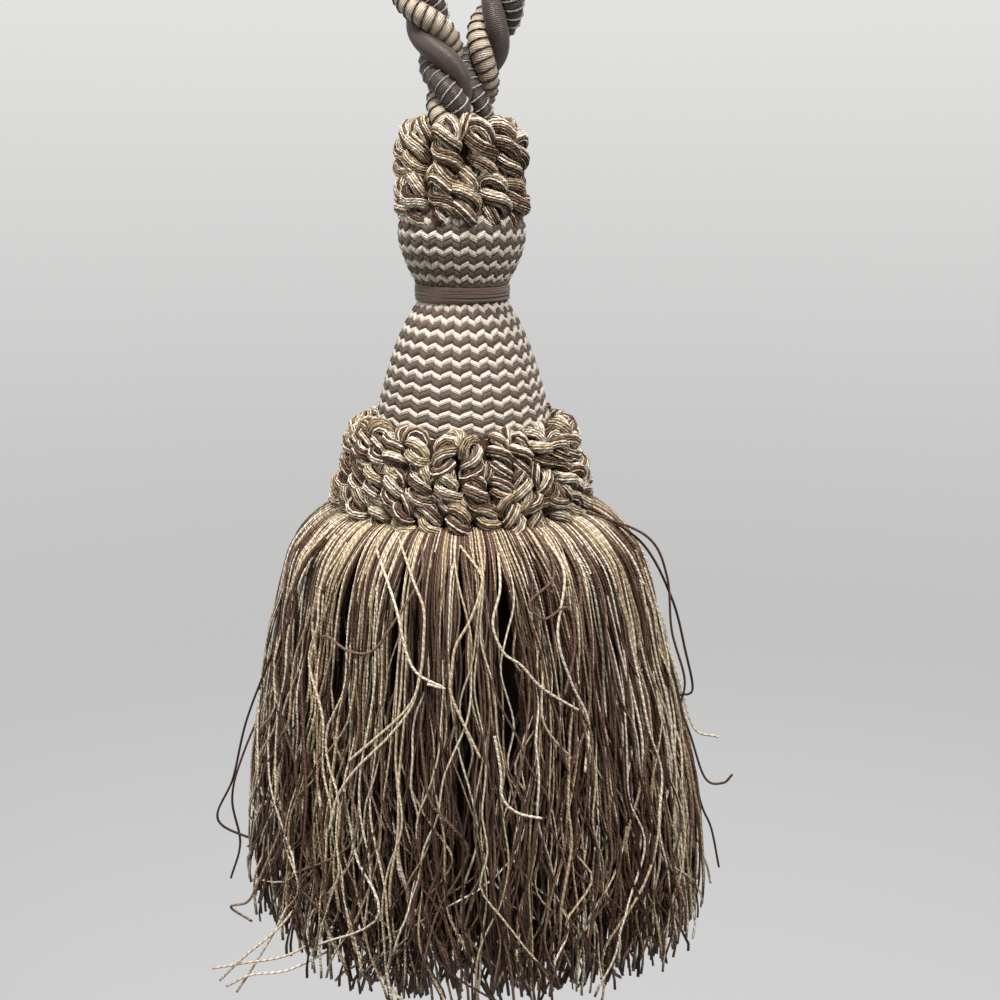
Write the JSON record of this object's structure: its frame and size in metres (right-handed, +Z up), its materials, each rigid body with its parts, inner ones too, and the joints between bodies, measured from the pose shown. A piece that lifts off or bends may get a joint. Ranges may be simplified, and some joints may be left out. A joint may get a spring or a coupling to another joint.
{
  "type": "curtain tieback tassel",
  "caption": "Key tassel on a closed three-strand rope loop, with a braided turned head, two looped ruffs and a full cut skirt.",
  "frame": {"origin": "the hook's seat, on the underside of the rope at the top of its loop, on the tassel's axis", "axes": "+Z up along the tassel's axis, +X to the right across the loop, the front facing -Y"},
  "size_m": [0.1513, 0.1509, 0.5042],
  "materials": {
    "rope_yarn": "satin three-strand twisted yarn, dark taupe with cream and dark wrapped strands",
    "braid_yarn": "silky two-tone herringbone braid, cream and brown",
    "binding_thread": "fine wound thread, dark mauve brown",
    "ruff_yarn": "twisted looped yarn, cream, brown and dark red",
    "skirt_yarn": "two-ply cut yarn, brown, cream and dark red"
  },
  "bodies": {
    "root": {"rope_loop": "rope_yarn", "upper_ruff": "ruff_yarn", "braided_mould": "braid_yarn", "neck_binding": "binding_thread", "lower_ruff": "ruff_yarn", "skirt": "skirt_yarn"}
  },
  "joints": []
}
